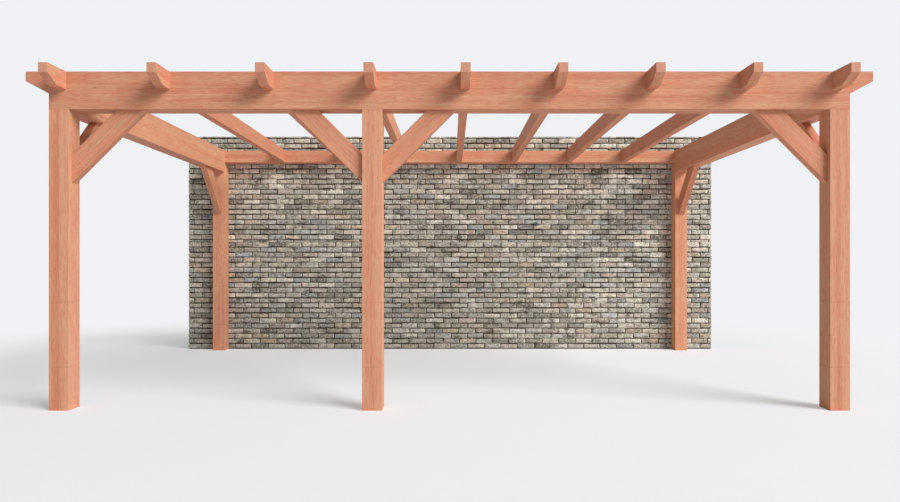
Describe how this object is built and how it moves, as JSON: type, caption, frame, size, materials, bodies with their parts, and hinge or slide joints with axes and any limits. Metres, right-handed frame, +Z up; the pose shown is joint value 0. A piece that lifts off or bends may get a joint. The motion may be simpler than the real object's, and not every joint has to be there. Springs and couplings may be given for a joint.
{
  "type": "attached veranda",
  "caption": "Open timber veranda frame on square posts with slanted braces, a deep front beam, rafters with sloping tails, and a brick wall that carries it at the back.",
  "frame": {"origin": "on the ground, under the middle of the part's plan", "axes": "+X along the wall to the right, seen from the open front; +Y from the open front to the wall; +Z up"},
  "size_m": [6.732, 3.929, 2.736],
  "materials": {
    "timber": "planed reddish softwood, clear matt oil",
    "brick": "weathered mixed brick with recessed joints"
  },
  "bodies": {
    "root": {"front_left_post": "timber", "front_middle_post": "timber", "front_right_post": "timber", "rear_left_post": "timber", "rear_right_post": "timber", "front_beam": "timber", "left_side_beam": "timber", "right_side_beam": "timber", "wall_plate": "timber", "left_corner_tail": "timber", "rafter_1": "timber", "rafter_2": "timber", "rafter_3": "timber", "rafter_4": "timber", "rafter_5": "timber", "rafter_6": "timber", "rafter_7": "timber", "right_corner_tail": "timber", "front_left_brace": "timber", "middle_left_brace": "timber", "middle_right_brace": "timber", "front_right_brace": "timber", "left_side_front_brace": "timber", "left_side_rear_brace": "timber", "right_side_front_brace": "timber", "right_side_rear_brace": "timber", "brick_wall": "brick"}
  },
  "joints": []
}
